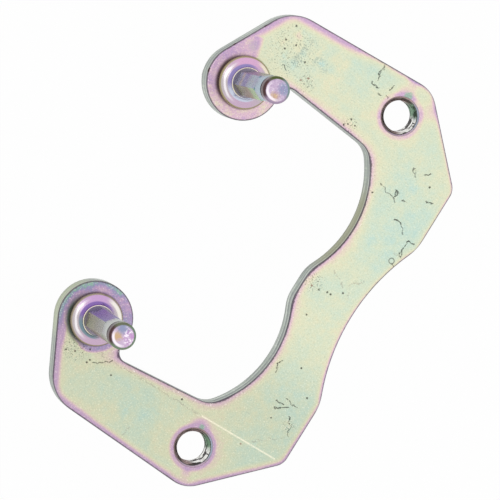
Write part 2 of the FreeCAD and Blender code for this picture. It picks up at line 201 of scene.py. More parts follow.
class Paint(Nodes):
    """The nodes of one procedural material, with places given in millimetres."""

    def __init__(self, owner):
        super().__init__(owner)
        place = self.node("ShaderNodeTexCoord").outputs["Object"]
        scaled = self.node("ShaderNodeVectorMath", {"operation": "SCALE"}, {0: place, 3: 1 / MM})
        self.point = scaled.outputs[0]
        split = self.node("ShaderNodeSeparateXYZ", {}, {0: self.point})
        self.x, self.y, self.z = (Field(self, split.outputs[i]) for i in range(3))

    def step(self, value, low, high):
        """Rises smoothly from 0 at the low value to 1 at the high one."""
        settings = {"interpolation_type": "SMOOTHSTEP"}
        if low < high:
            node = self.node("ShaderNodeMapRange", settings, {0: value, 1: low, 2: high, 3: 0.0, 4: 1.0})
        else:
            node = self.node("ShaderNodeMapRange", settings, {0: value, 1: high, 2: low, 3: 1.0, 4: 0.0})
        return Field(self, node.outputs[0])

    def noise(self, scale, detail=3.0, rough=0.5, where=None, distortion=0.0):
        """Returns cloudy noise about 0 with a feature size of one over the scale, in millimetres."""
        node = self.node("ShaderNodeTexNoise", {}, {
            "Vector": where or self.point, "Scale": scale, "Detail": detail, "Roughness": rough,
            "Distortion": distortion})
        return Field(self, node.outputs[0]) - 0.5

    def stretched(self, along, across, upright):
        """Returns coordinates squeezed along some of the axes, for grain."""
        return self.node("ShaderNodeMapping", {}, {0: self.point, 3: (along, across, upright)}).outputs[0]

    def band(self, value, low, high, soft):
        """Is 1 between two values and 0 outside them."""
        return self.step(value, low - soft, low + soft) * self.step(value, high + soft, high - soft)

    def around(self, x, y):
        """Returns the distance from an upright axis, and the turn about it in degrees from the -X side."""
        dx, dy = self.x - x, self.y - y
        radius = self.math("SQRT", dx * dx + dy * dy)
        turn = self.math("ARCTAN2", 0 - dy, 0 - dx) * math.degrees(1)
        return radius, turn

    def sector(self, turn, centre, half, soft=12.0):
        """Is 1 within half a width of a turn, and wraps round the full circle."""
        apart = abs(self.math("WRAP", turn - centre, 180.0, -180.0))
        return self.step(apart, half + soft, half - soft)

    def shaken(self, scale, reach):
        """Returns coordinates pushed about by up to a reach in millimetres, to make lines crooked."""
        noise = self.node("ShaderNodeTexNoise", {}, {"Vector": self.point, "Scale": scale, "Detail": 2.0})
        push = self.node("ShaderNodeVectorMath", {"operation": "MULTIPLY_ADD"}, {
            0: noise.outputs[1], 1: (2 * reach, 2 * reach, 0), 2: (-reach, -reach, 0)})
        moved = self.node("ShaderNodeVectorMath", {}, {0: self.point, 1: push.outputs[0]})
        return moved.outputs[0]

    def strokes(self, paths, width, ragged=0.0, where=None):
        """Is 1 on lines given by their points and a width in millimetres; a lone point makes a dot."""
        gaps = []
        for path in paths:
            if len(path) == 1:
                gaps.append(self.near(*path[0]))
            gaps.extend(self.beside(a, b, where) for a, b in zip(path, path[1:]))
        gap = self.least(*gaps) + ragged
        return self.step(gap, width * 0.8, width * 0.25)

    def near(self, x, y, z=FRONT):
        """Returns the distance in millimetres from a point."""
        node = self.node("ShaderNodeVectorMath", {"operation": "DISTANCE"}, {0: self.point, 1: (x, y, z)})
        return Field(self, node.outputs[1])

    def beside(self, start, end, where=None):
        """Returns the distance in millimetres from a level line between two points on the front face."""
        a, b = Vector((*start, FRONT)), Vector((*end, FRONT))
        span = b - a
        away = self.node("ShaderNodeVectorMath", {"operation": "SUBTRACT"}, {0: where or self.point, 1: a})
        share = self.node("ShaderNodeVectorMath", {"operation": "DOT_PRODUCT"},
                          {0: away.outputs[0], 1: span / span.length_squared})
        share = self.node("ShaderNodeClamp", {}, {0: share.outputs[1]})
        foot = self.node("ShaderNodeVectorMath", {"operation": "SCALE"}, {0: span, 3: share.outputs[0]})
        gap = self.node("ShaderNodeVectorMath", {"operation": "DISTANCE"},
                        {0: away.outputs[0], 1: foot.outputs[0]})
        return Field(self, gap.outputs[1])

    def ramp(self, value, stops):
        """Looks a value up in a list of colours, each with its own place."""
        node = self.node("ShaderNodeValToRGB", {}, {0: value})
        elements = node.color_ramp.elements
        while len(elements) < len(stops):
            elements.new(1.0)
        for element, (position, colour) in zip(elements, stops):
            element.position = position
            element.color = (*colour, 1)
        return node.outputs[0]

    def mix(self, share, first, second, blend="MIX"):
        """Mixes two colours."""
        sockets = {0: share}
        for key, colour in ((6, first), (7, second)):
            sockets[key] = colour if isinstance(colour, bpy.types.NodeSocket) else (*colour, 1)
        settings = {"data_type": "RGBA", "blend_type": blend, "clamp_factor": True}
        return self.node("ShaderNodeMix", settings, sockets).outputs[2]

    def bump(self, height, depth, strength):
        """Turns a height of 0 to 1 into a normal, for relief as deep as given in millimetres."""
        values = {"Height": height, "Distance": depth * MM, "Strength": strength}
        return self.node("ShaderNodeBump", {}, values).outputs[0]

    def finish(self, colour, metallic, roughness, normal):
        """Ends the material in a Principled surface."""
        shader = self.node("ShaderNodeBsdfPrincipled", {}, {
            "Base Color": colour, "Metallic": metallic, "Roughness": roughness, "Normal": normal})
        self.node("ShaderNodeOutputMaterial", {}, {0: shader.outputs[0]})
        return self.owner


def edge_distance(paint):
    """Returns how far a place on the front face lies from the outer and from the inner edge."""
    y = abs(paint.y)
    x = paint.x
    hole = Vector((0, HALF_HOLES, 0))
    pin = Vector((PIN_X, PIN_Y, 0))

    def inside(normal, through, offset):
        return normal.dot(through) + offset - (x * normal.x + y * normal.y)

    def from_circle(centre_x, centre_y, radius):
        dx, dy = x - centre_x, y - centre_y
        return paint.math("SQRT", dx * dx + dy * dy) - radius

    outer = inside(unit(93.2), hole, 13.0)
    corner = inside(unit(45.5), hole, 13.0)
    side = 29.8 - x
    waist = from_circle(92.8, 0, 70.0)
    flank = inside(unit(152.4), pin, EAR_RADIUS)
    arm = 0 - inside(unit(84.9), hole, -15.1)
    ear = 0 - from_circle(PIN_X, PIN_Y, EAR_RADIUS)
    bay = from_circle(-29.3, 24.7, 36.3)
    nose = x - 1.9
    nose = paint.math("SMOOTH_MIN", bay, nose, 4.0)
    inner = paint.math("SMOOTH_MAX", arm, ear, 9.0)
    inner = paint.math("SMOOTH_MAX", inner, nose, 16.0)
    outer = paint.math("SMOOTH_MIN", outer, corner, 3.0)
    outer = paint.math("SMOOTH_MIN", outer, flank, 4.0)
    outer = paint.math("SMOOTH_MIN", outer, paint.least(side, waist), 2.0)
    return outer, inner


# Colours of the film, from the thinnest to the thickest.
OXIDE = [
    (0.00, linear(193, 219, 208)),
    (0.14, linear(206, 222, 202)),
    (0.27, linear(216, 223, 196)),
    (0.38, linear(225, 224, 192)),
    (0.48, linear(230, 213, 196)),
    (0.58, linear(224, 190, 206)),
    (0.70, linear(200, 166, 204)),
    (0.80, linear(174, 156, 200)),
    (0.90, linear(158, 170, 192)),
    (1.00, linear(156, 198, 174)),
]
# Places on the front face in millimetres. Marks are lists of points; patches and zones end in a reach.
PITS = [
    (-43, 65.8), (-45.7, 62.8), (-47, 65.5), (-37.4, 62.6), (-46.4, 71.2), (8.9, -7.6), (-45.7, -58.4),
    (-13.6, 55.3), (-13.7, 53.3), (-11.4, 54.1), (-14.9, 52.3), (21.8, 50.6), (5.9, 38.7), (12.3, 2.4),
    (-46.1, -59.6), (-36.9, -59), (-12, -53.4), (24.4, -31), (17.2, -23.6), (17.4, -42.9), (-54.4, -59.6),
    (-51.6, -58.5), (-47.5, -55.4), (7.9, 1.7), (10.9, 2.5), (15.7, 5),
]
DARK_MARKS = [
    [(-42.8, 58), (-42.2, 57)],
    [(-13.3, 76.7), (-13.3, 75), (-14.1, 73.8), (-13.7, 72.9), (-12.9, 72.8), (-13.2, 71.6)],
    [(-14.6, 69.4), (-13.2, 68.9), (-11.3, 69.2)],
    [(-7, 72.4), (-7.9, 70.6)],
    [(-10.2, 67.7), (-9.4, 67.5)],
    [(-8.1, 68.3), (-7, 67.7)],
    [(13.7, 53), (14.5, 52.1), (15.7, 51.2)],
    [(16.3, 41.4), (17.7, 42)],
    [(18, 52.9), (19.1, 53.9)],
    [(23.9, 45.7), (25.5, 46.6)],
    [(6.9, 43), (9.6, 41.2), (13, 41), (14.4, 39.8)],
    [(13.2, 41), (12.8, 43.7), (13.7, 43.5), (13.1, 42.2)],
    [(17.8, 35.4), (19.2, 35.3), (21.2, 34.1), (22.8, 32)],
    [(27.3, 31.7), (25.5, 31.7), (25.1, 30), (25.5, 27.8), (26, 26.1), (25, 26.5)],
    [(24.6, 22.1), (25.6, 21.8)],
    [(-44.2, -58.4), (-41.9, -57.7), (-39, -54.6)],
    [(10.2, -24.8), (9.5, -26.7), (10.6, -28.9)],
    [(18.4, -34.9), (23.2, -35.6)],
    [(15.7, -37.2), (18.6, -36.7)],
    [(17, -39.8), (20.8, -36.9)],
    [(22.7, -39.9), (23, -40.9), (24.3, -41.4)],
    [(25.6, -41.9), (24.9, -43.3), (26, -44.5)],
]
WORN_LINES = [[(-40.6, 58.7), (-38.7, 68.8)], [(-33.5, 65.2), (-30.8, 64.9)]]
FAINT_MARKS = [
    [(-22.6, -70.7), (-22.5, -73.9)],
    [(9.4, 9.7), (10.6, 9.1), (12.4, 7.9), (14.5, 6.4)],
    [(-45.1, -54.8), (-4.4, -54.6)],
    [(16.1, -52.9), (20, -49.9), (26, -46)],
    [(19.1, 11.9), (16.6, 9.1), (17.3, 6.7), (18.5, 4)],
    [(23.4, 25.5), (26, 26.1)],
]
RUST_MARKS = [[(13.2, -55.6)], [(5.1, 1.6)], [(-35.3, 57)], [(-33.5, 58.8)]]
BRIGHT_SCRATCH = [[(-3, -54.6), (25.9, -54)]]
WORN_PATCHES = [
    (-40.2, 60.5, 2.0), (-39.6, 65.0, 2.2), (-43.3, 70.4, 1.6), (-44.6, 60.6, 1.2), (-32.2, 65.1, 1.6),
    (21, 39, 3.0), (18, 47, 2.6), (14, 25, 3.2), (-27, -66, 4.0), (25, -43, 2.2),
]
COOL_ZONES = [(20, 36, 20), (20, -42, 16), (-22, -62, 10), (-30, 69, 6)]
WARM_PATCHES = [
    (-44, 69, 3.0), (31, 37, 3.0), (-28, 70, 5.0), (2.6, -74, 3.0), (8, 72, 6.0), (-2, 78, 4.0),
]
PITTED_ZONES = [
    (-51.5, -57.5, 5.5), (-13, 53.5, 4.0), (-33, 57, 4.0), (5, 3, 4.0), (24, -42.5, 3.5), (-18, 49, 2.5),
]
EDGE_NICKS = [(-54.7, 65.4), (-60.4, 54.7), (-62.4, 42.2), (-63.4, 43.2)]


class BracketSizes(bpy.types.PropertyGroup):
    """Sizes of the details that are cut and turned here."""

    thread_pitch: FloatProperty(
        name="Thread pitch", description="Distance between two turns of a mounting thread",
        default=0.0015, min=0.0005, unit="LENGTH")
    thread_depth: FloatProperty(
        name="Thread depth", description="How far a thread's crest stands into the hole",
        default=0.00073, min=0.0001, unit="LENGTH")
    thread_radius: FloatProperty(
        name="Thread radius", description="Outer radius of the mounting threads",
        default=0.006, min=0.001, unit="LENGTH")
    thread_mouth: FloatProperty(
        name="Thread mouth", description="Height from mid plate at which a thread runs into its cone",
        default=0.00335, min=0.0, unit="LENGTH")
    flat_radius: FloatProperty(
        name="Flat radius", description="Distance from a pin's axis to its milled flats",
        default=0.004, min=0.001, unit="LENGTH")


class BracketColours(bpy.types.PropertyGroup):
    """Colours of the coat."""

    wall: FloatVectorProperty(
        name="Cut edge", description="Coat on the blanked edge of the plate",
        subtype="COLOR", default=linear(170, 182, 168), min=0, max=1)


def plate_coat(paint, noises, edges):
    """Returns the colours of the plate's coat: a thin film that shifts towards edges, holes and pins, with
    painted shade over the lower half.
    """
    cloud, mottle, fine = noises
    outer, inner = edges
    ragged = cloud * 4.0 + mottle * 2.0 + fine * 1.6
    film = 0.25 + cloud * 0.8 + mottle * 0.3 + fine * 0.24
    for x, y, reach in COOL_ZONES:
        film = film - paint.step(paint.near(x, y) + ragged * 2.0, reach, 2.0) * 0.1
    film = film - paint.step(paint.x + cloud * 20, 8.0, 24.0) * 0.07
    film = paint.least(film + paint.step(paint.y, -30.0, -60.0) * 0.03, 0.38 + fine * 0.3)
    left = paint.step(paint.x, -24.0, -50.0) * paint.step(paint.y, -50.0, -54.0)
    low = paint.step(paint.y, 10.0, -50.0)
    top_left = paint.step(paint.x, -12.0, -30.0) * paint.step(paint.y, 56.0, 64.0)
    film = film + paint.step(outer + ragged, 4.8, 1.0) * top_left * 0.3
    film = film + paint.step(outer + ragged, 3.2, 0.6) * (0.14 + low * 0.2)
    film = film + paint.step(outer + ragged, 6.5, 1.5) * left * 0.16
    film = film + paint.step(outer + ragged * 0.4, 1.5, 0.4) * 0.18
    film = film + paint.step(inner + ragged, 5.0, 1.2) * 0.14
    film = film + paint.step(inner + ragged * 1.3, 2.4, 0.4) * 0.17
    for y, halo in ((HALF_HOLES, 0.22), (-HALF_HOLES, 0.28)):
        radius, _ = paint.around(0, y)
        film = film + paint.step(radius + ragged, 12.5, 8.0) * 0.1
        film = film + paint.step(radius + ragged * 0.6, 8.8, 7.2) * halo
        above = paint.near(-1.6, y + 7.4) + cloud * 3.0 + fine * 2.0
        film = film + paint.step(above, 5.0, 1.5) * 0.18
    upper, upper_turn = paint.around(PIN_X, PIN_Y)
    lower, lower_turn = paint.around(PIN_X, -PIN_Y)
    cloudy = cloud * 3.0 + fine * 1.6
    below = paint.step(paint.y + cloudy, 54.6, 50.8)
    beyond = paint.step(paint.x + paint.y * 0.25 + cloudy * 1.5, -35.0, -39.6)
    upper_ear = paint.most(below, beyond) * paint.step(paint.y, 20.0, 26.0) * paint.step(upper, 17.5, 15.5)
    lower_half = paint.step(paint.y, -20.0, -26.0)
    past = paint.step(paint.y, -51.0, -46.0) * paint.step(paint.x, -36.0, -38.0) * lower_half
    beige = paint.sector(lower_turn, 62.0, 30.0, 20.0) * 1.6
    lower_ear = paint.most(paint.step(lower + cloudy + beige, 12.6, 10.4), past)
    violet = 0.67 + fine * 0.35 + mottle * 0.3 + cloud * 0.5
    rosy = violet - 0.04 - paint.sector(upper_turn, 122.0, 55.0, 30.0) * 0.07
    film = paint.most(paint.least(film, 0.68), rosy * upper_ear, (violet + 0.05) * lower_ear)
    rim = paint.step(lower + ragged * 0.5, 10.0, 11.9) * paint.sector(lower_turn, -38.0, 75.0, 20.0)
    film = film + rim * lower_half * 0.24
    for patches, shift in ((WORN_PATCHES, -0.12), (WARM_PATCHES, 0.18)):
        for x, y, reach in patches:
            film = film + paint.step(paint.near(x, y) + cloudy, reach, 0.3) * shift
    face = paint.ramp(film, OXIDE)
    for y in (HALF_HOLES, -HALF_HOLES):
        above = paint.near(-1.2, y + 7.2) + cloud * 3.0 + fine * 2.0
        face = paint.mix(paint.step(above, 1.9, 0.8) * 0.75, face, linear(138, 186, 158))
    # Painted shade: the face is multiplied darker towards the lower half of the plate.
    face = paint.mix(paint.step(paint.y, -10.0, -45.0) * 0.8, face, linear(232, 234, 232), "MULTIPLY")
    return face


def plate_marks(paint, face, noises, edges):
    """Adds painted shadows round the pins, painted shade and glints along the edges, and what use has left on
    the front face: scratches, pits, wear and rust.
    """
    cloud, mottle, fine = noises
    outer, inner = edges
    ragged = cloud * 4.0 + mottle * 2.0 + fine * 1.6
    cloudy = cloud * 3.0 + fine * 1.6
    upper, upper_turn = paint.around(PIN_X, PIN_Y)
    lower, lower_turn = paint.around(PIN_X, -PIN_Y)
    speckle = paint.noise(2.2, 2.0, 0.7)
    face = paint.mix(paint.step(speckle, 0.02, 0.22) * 0.3, face, linear(150, 164, 150))
    face = paint.mix(paint.step(speckle, -0.04, -0.22) * 0.45, face, linear(250, 248, 228))
    slate = paint.step(paint.near(-54.9, 58) + cloudy, 2.6, 0.6)
    face = paint.mix(slate * 0.4, face, linear(160, 152, 186))
    # Painted shadows on the plate: a dark crescent on one side of each flange, brown by the upper pin and
    # green by the lower.
    for radius, turn, middle, reach, dark in (
        (upper, upper_turn, 12.0, 10.3, linear(84, 62, 66)),
        (lower, lower_turn, 36.0, 10.9, linear(22, 80, 46)),
    ):
        pin_shadow = paint.step(radius, reach, 9.0) * paint.sector(turn, middle, 56.0, 32.0)
        face = paint.mix(pin_shadow * 0.9, face, dark)
        # Painted shade: a thin dark ring where the flange meets the plate.
        pin_shadow = paint.step(radius, 9.4, 8.9)
        face = paint.mix(pin_shadow * 0.5, face, linear(90, 76, 70))
    wobble = fine + mottle * 0.6
    crooked = paint.shaken(0.45, 1.6)
    broken = paint.step(speckle + fine, -0.14, 0.06)
    faint = paint.strokes(FAINT_MARKS, 0.5, wobble, crooked) * broken * 0.4
    face = paint.mix(faint, face, linear(150, 140, 130))
    deep = paint.strokes(DARK_MARKS, 0.42, wobble, crooked) * (0.45 + broken * 0.5)
    face = paint.mix(deep, face, linear(42, 40, 36))
    pits = paint.least(*(paint.near(x, y) for x, y in PITS)) + fine * 0.8
    face = paint.mix(paint.step(pits, 0.48, 0.2) * 0.85, face, linear(40, 38, 34))
    rough = paint.step(paint.near(-43, 63) + ragged, 11.0, 5.0)
    face = paint.mix(rough * paint.step(speckle, 0.1, 0.17) * 0.75, face, linear(70, 74, 62))
    for x, y, reach in PITTED_ZONES:
        rough = paint.step(paint.near(x, y) + ragged, reach, reach * 0.4)
        face = paint.mix(rough * paint.step(speckle, 0.06, 0.14) * 0.75, face, linear(80, 72, 66))
        face = paint.mix(rough * paint.step(speckle, -0.1, -0.18) * 0.4, face, linear(244, 206, 190))
    worn = paint.strokes(WORN_LINES, 3.4, ragged * 1.2) * paint.step(mottle + speckle, -0.06, 0.1)
    face = paint.mix(worn * 0.5, face, linear(142, 164, 158))
    face = paint.mix(paint.strokes(RUST_MARKS, 0.6, wobble) * 0.7, face, linear(130, 70, 54))
    # Painted shade: a thin dark line along the face's outer and inner edges, where the rolled edge turns
    # away.
    edge = paint.least(outer, inner)
    face = paint.mix(paint.step(edge + fine * 0.7, 0.6, 0.2) * 0.85, face, linear(74, 62, 78))
    # Painted glints and painted shade: white and dark specks along the roll of the inner edge.
    edge_glint_and_shade = paint.step(inner + ragged, 3.0, 0.5)
    face = paint.mix(edge_glint_and_shade * paint.step(speckle, 0.16, 0.22) * 0.6, face, linear(84, 76, 76))
    face = paint.mix(edge_glint_and_shade * paint.step(speckle, -0.12, -0.2) * 0.7, face, linear(255, 250, 250))
    bright = paint.strokes(BRIGHT_SCRATCH, 0.5, fine * 0.5) * (0.3 + broken * 0.5)
    face = paint.mix(bright, face, linear(252, 246, 222))
    loop = paint.band(paint.near(24.1, 22.9), 0.75, 1.1, 0.12)
    face = paint.mix(loop * 0.7, face, linear(80, 78, 74))
    return face


def plate_wall(paint, base):
    """Returns the colours of the blanked edge: streaks, a dark belt, a pale line under the face, and painted
    shade along its front and back edges.
    """
    streaks = paint.noise(1.3, 3.0, 0.6, paint.stretched(1.0, 1.0, upright=0.06))
    wall = paint.mix(paint.step(streaks, -0.1, 0.1), linear(166, 176, 168), base)
    wall = paint.mix(paint.step(streaks, 0.04, 0.2) * 0.4, wall, linear(214, 222, 208))
    lines = paint.noise(0.7, 3.0, 0.6, paint.stretched(0.1, 0.1, 1.0))
    wall = paint.mix(paint.step(lines, 0.0, 0.12) * 0.5, wall, linear(108, 114, 116))
    wall = paint.mix(paint.step(lines, -0.02, -0.14) * 0.7, wall, linear(236, 240, 234))
    dark = paint.band(paint.z + lines * 3.0, FRONT - 3.6, FRONT - 1.9, 0.3)
    wall = paint.mix(dark * 0.45, wall, linear(92, 104, 104))
    low = paint.step(paint.y, 10.0, -50.0)
    wall = paint.mix(paint.step(paint.x, -58.0, -62.0) * low * 0.5, wall, linear(190, 200, 146))
    olive = paint.band(paint.y, 9.0, 38.0, 5.0) * paint.band(paint.x, -20.0, 14.0, 5.0)
    wall = paint.mix(olive * 0.8, wall, linear(146, 148, 104))
    line = paint.band(paint.z, FRONT - 1.5, FRONT - 1.0, 0.2)
    wall = paint.mix(line * 0.6, wall, linear(212, 216, 206))
    # Painted shade: a dark line on the rolled edge just under the face.
    line = paint.step(paint.z, FRONT - 0.95, FRONT - 0.6)
    wall = paint.mix(line * 0.8, wall, linear(96, 84, 100))
    # Painted shade: a dark line along the wall's back edge.
    wall = paint.mix(paint.step(paint.z, BACK + 1.5, BACK + 0.7) * 0.6, wall, linear(96, 100, 98))
    nicks = paint.least(*(paint.near(x, y, FRONT - 0.6) for x, y in EDGE_NICKS))
    wall = paint.mix(paint.step(nicks, 1.1, 0.5), wall, linear(70, 48, 44))
    return wall


def plate_holes(paint, colour, fine):
    """Colours the mounting holes: a pale cone over a bore darkened by painted shade, and a thin dark rim of
    painted shade.
    """
    for y in (HALF_HOLES, -HALF_HOLES):
        radius, turn = paint.around(0, y)
        bore = paint.step(radius, MOUTH_RADIUS + 0.07, MOUTH_RADIUS - 0.03)
        cone = paint.mix(paint.sector(turn, 120.0, 50.0, 25.0), linear(196, 168, 166), linear(214, 188, 210))
        cone = paint.mix(paint.sector(turn, -150.0, 40.0, 20.0), cone, linear(176, 186, 204))
        # Painted shade: the bore inside the cone is dark.
        inside = paint.mix(paint.step(radius + fine * 0.4, 6.12, 6.3), linear(84, 90, 84), cone)
        colour = paint.mix(bore, colour, inside)
        # Painted shade: a thin dark line round the mouth of the hole.
        rim = paint.band(radius + fine * 0.5, MOUTH_RADIUS - 0.07, MOUTH_RADIUS + 0.13, 0.08)
        rim = rim * paint.step(paint.z, FRONT - 0.6, FRONT - 0.1)
        colour = paint.mix(rim * 0.5, colour, linear(104, 84, 90))
    return colour


def plate_material(colours):
    """Makes the coat of the plate, with marks on the front face and none on the back."""
    paint = Paint(bpy.data.materials.new("Plate zinc"))
    noises = paint.noise(0.06, 4.0, 0.6), paint.noise(0.3, 3.0, 0.6), paint.noise(1.4, 3.0, 0.7)
    edges = edge_distance(paint)
    coat = plate_coat(paint, noises, edges)
    face = plate_marks(paint, coat, noises, edges)
    wall = plate_wall(paint, tuple(colours.wall))
    front = paint.step(paint.z, FRONT - 0.32, FRONT - 0.06)
    colour = paint.mix(front, wall, face)
    back = paint.step(paint.z, BACK + 0.32, BACK + 0.06)
    colour = paint.mix(back, colour, coat)
    fine = noises[-1]
    colour = plate_holes(paint, colour, fine)
    normal = paint.bump(paint.noise(1.8, 3.0, 0.6), 0.03, 0.6)
    return paint.finish(colour, 0.85, 0.36 + fine * 0.2, normal)


def thread_material(end, y):
    """Makes the coat on a thread's ridges: dull, with a green side, and one side streaked with painted
    highlights and painted shade.
    """
    paint = Paint(bpy.data.materials.new(f"{end.capitalize()} thread zinc"))
    _, turn = paint.around(0, y)
    fine = paint.noise(1.2, 3.0, 0.7)
    streaks = paint.noise(0.9, 2.0, 0.6, paint.stretched(0.25, 0.25, 1.0))
    crest = paint.step(streaks, -0.03, 0.05)
    green = paint.mix(crest, linear(60, 74, 60), linear(122, 156, 128))
    # Painted highlights and painted shade: near-white and dark streaks on the ridges of one side.
    bright = paint.mix(crest, linear(70, 66, 66), linear(252, 252, 248))
    dull = paint.mix(crest, linear(104, 88, 84), linear(184, 160, 158))
    colour = paint.mix(paint.sector(turn + fine * 30, -135.0, 40.0, 20.0), dull, green)
    colour = paint.mix(paint.sector(turn + fine * 30, 162.0, 42.0, 14.0), colour, bright)
    normal = paint.bump(fine, 0.02, 0.5)
    return paint.finish(colour, 0.8, 0.3 + fine * 0.2, normal)


PIN_TONES = {
    "upper": {
        "rim": linear(168, 158, 118), "cone": linear(222, 176, 212), "cove": linear(150, 138, 192),
        "root": linear(206, 214, 232),
        "facets": (linear(116, 108, 140), linear(160, 168, 196), linear(146, 148, 104)),
        "tip": linear(162, 212, 146), "neck": linear(160, 182, 196), "spots": linear(196, 188, 176),
        "top": linear(84, 96, 50), "right": linear(128, 150, 150), "bottom": linear(170, 150, 176),
    },
    "lower": {
        "rim": linear(164, 152, 128), "cone": linear(206, 168, 214), "cove": linear(140, 110, 180),
        "root": linear(122, 146, 156),
        "facets": (linear(136, 122, 186), linear(176, 180, 142), linear(160, 152, 118)),
        "tip": linear(158, 168, 138), "neck": linear(190, 194, 190), "spots": linear(150, 146, 150),
        "top": linear(112, 118, 96), "right": linear(116, 138, 116), "bottom": linear(118, 136, 112),
    },
}


def pin_flange(paint, end, height, radius, turn, cloud):
    """Returns the colours of a flange: its cone, the cove round the shank's foot, the rim and the lip, with
    painted highlights on the cone and lip and painted shade at its foot.
    """
    tones = PIN_TONES[end]
    front = paint.sector(turn + cloud * 40, -60.0, 45.0, 30.0)
    flange = paint.mix(front, linear(196, 186, 190), tones["cone"])
    flange = paint.mix(paint.sector(turn + cloud * 40, 110.0, 40.0, 25.0), flange, linear(204, 176, 200))
    # Painted highlight: a white crescent on one side of the cone.
    white = paint.band(radius + cloud * 0.8, 6.9, 7.6, 0.2) * paint.sector(turn, 26.0, 50.0, 22.0)
    flange = paint.mix(white * 0.95, flange, linear(252, 246, 250))
    # Painted highlights on the far side of the cone: white on the lower pin, cream on the upper.
    if end == "lower":
        white = paint.band(radius, 7.0, 8.2, 0.3) * paint.sector(turn, -125.0, 32.0, 12.0)
        flange = paint.mix(white * 0.9, flange, linear(252, 248, 236))
    else:
        pale = paint.band(radius, 7.3, 8.3, 0.3) * paint.sector(turn, -118.0, 22.0, 12.0)
        flange = paint.mix(pale * 0.8, flange, linear(250, 240, 208))
    cove = paint.step(radius, 6.5, 6.0)
    middle = {"upper": 95.0, "lower": 72.0}[end]
    flange = paint.mix(cove * paint.sector(turn, middle - 115.0, 75.0, 25.0), flange, tones["cove"])
    flange = paint.mix(cove * paint.sector(turn, middle, 50.0, 20.0), flange, tones["root"])
    flange = paint.mix(paint.step(radius, 8.15, 8.5), flange, tones["rim"])
    # Painted shade: the foot of the flange's side wall is dark.
    dark = paint.step(height, 1.2, 0.4) * paint.step(radius, 8.4, 8.7)
    flange = paint.mix(dark * 0.7, flange, linear(88, 70, 62))
    # Painted highlight: a cream line on the lip, on one side only.
    lip = paint.step(height, 4.3, 4.6) * paint.step(radius, 5.4, 5.3)
    flange = paint.mix(lip * paint.sector(turn, -10.0, 100.0, 20.0), flange, linear(255, 246, 222))
    return flange


def pin_shank(paint, end, height, turn, noises):
    """Returns the colours of a shank: one for each flat that shows, partly coat colour and partly painted
    shading of that flat, with patches, painted shade at its foot, and the neck beyond.
    """
    tones = PIN_TONES[end]
    fine, mottle, grain = noises
    top, side, bottom = tones["facets"]
    first = FLAT_ANGLES[end] - 30.0
    last = first + 60.0
    # Each flat's tone is partly the coat's colour and partly painted shading of how that flat catches the
    # light.
    shank = paint.mix(paint.step(turn, first - 1.5, first + 1.5), top, side)
    bright = paint.step(height + mottle * 6, 14.0, 26.0)
    shank = paint.mix(bright * paint.band(turn, first, last, 1.5) * 0.6, shank, tones["neck"])
    if end == "upper":
        patches = ((11.5, 14.0, linear(206, 190, 160)), (15.5, 20.5, linear(132, 128, 190)),
                   (23.0, 29.0, linear(172, 204, 206)))
        for low, high, patch in patches:
            patch_share = paint.band(height + mottle * 3, low, high, 0.8) * paint.band(turn, first, last, 1.5)
            shank = paint.mix(patch_share * 0.65, shank, patch)
    shank = paint.mix(paint.band(turn, last, 130.0, 1.5), shank, bottom)
    tip = paint.step(height + fine * 4, 22.0, 28.0) * paint.band(turn, last, 130.0, 1.5)
    shank = paint.mix(tip, shank, tones["tip"])
    shank = paint.mix(paint.step(grain, 0.08, 0.26) * 0.22, shank, linear(214, 216, 198))
    shank = paint.mix(paint.step(mottle, 0.02, 0.16) * 0.35, shank, tones["spots"])
    shank = paint.mix(paint.step(height, NECK_START - 0.2, NECK_START + 0.2), shank, tones["neck"])
    # Painted shade: the shank darkens towards its foot in the flange.
    shank = paint.mix(paint.step(height, 6.5, 5.0) * 0.3, shank, linear(72, 62, 66))
    return shank


def pin_button(paint, end, y, height, radius, turn, cloud, fine):
    """Returns the colours of a button: its side with painted shading round it, and its end with an ochre and
    a slate patch, painted glints and shade in place of dimples, and a painted highlight.
    """
    tones = PIN_TONES[end]
    # Painted shading: the side's tone changes round the button, darkest in the sector at 20 degrees.
    button = paint.mix(paint.sector(turn, -62.0, 42.0, 20.0), tones["bottom"], tones["top"])
    button = paint.mix(paint.sector(turn, -140.0, 45.0, 20.0), button, tones["right"])
    button = paint.mix(paint.sector(turn, 20.0, 44.0, 16.0), button, linear(84, 60, 62))
    face = paint.step(radius + fine * 0.4, 3.8, 3.4) * paint.step(height, PIN_TOP - 1.6, PIN_TOP - 1.4)
    hub = FRONT + PIN_TOP
    place = {"upper": ((0.4, -2.2), (1.9, 1.6)), "lower": ((-1.6, -0.8), (-1.2, 2.6))}[end]
    ochre, slate = (paint.near(PIN_X + dx, y + dy, hub) for dx, dy in place)
    top_face = paint.mix(cloud + 0.5, linear(212, 190, 212), linear(190, 170, 200))
    top_face = paint.mix(paint.step(ochre + fine * 4, 2.2, 0.6) * 0.75, top_face, linear(206, 172, 106))
    top_face = paint.mix(paint.step(slate + fine * 3, 3.0, 1.0) * 0.85, top_face, linear(134, 148, 180))
    # Painted glints and painted shade: light and dark scribbles on the end face stand in for dimples.
    scribble = paint.noise(0.8, 3.0, 0.7, distortion=1.2)
    if end == "lower":
        right = paint.sector(turn, -160.0, 70.0, 30.0)
        top_face = paint.mix(paint.step(scribble, 0.02, 0.07) * right, top_face, linear(255, 240, 255))
        violet = paint.step(scribble, -0.02, -0.08) * right * 0.8
        top_face = paint.mix(violet, top_face, linear(196, 140, 202))
    else:
        top_face = paint.mix(paint.step(scribble, 0.03, 0.12) * 0.4, top_face, linear(252, 240, 250))
        top_face = paint.mix(paint.step(scribble, -0.03, -0.09) * 0.6, top_face, linear(176, 150, 186))
    # Painted highlight: a bright crescent near the rim of the end face.
    crescent = paint.band(radius, 2.7, 3.5, 0.2) * paint.sector(turn, 60.0, 55.0, 25.0)
    top_face = paint.mix(crescent * 0.9, top_face, linear(252, 244, 252))
    return paint.mix(face, button, top_face)


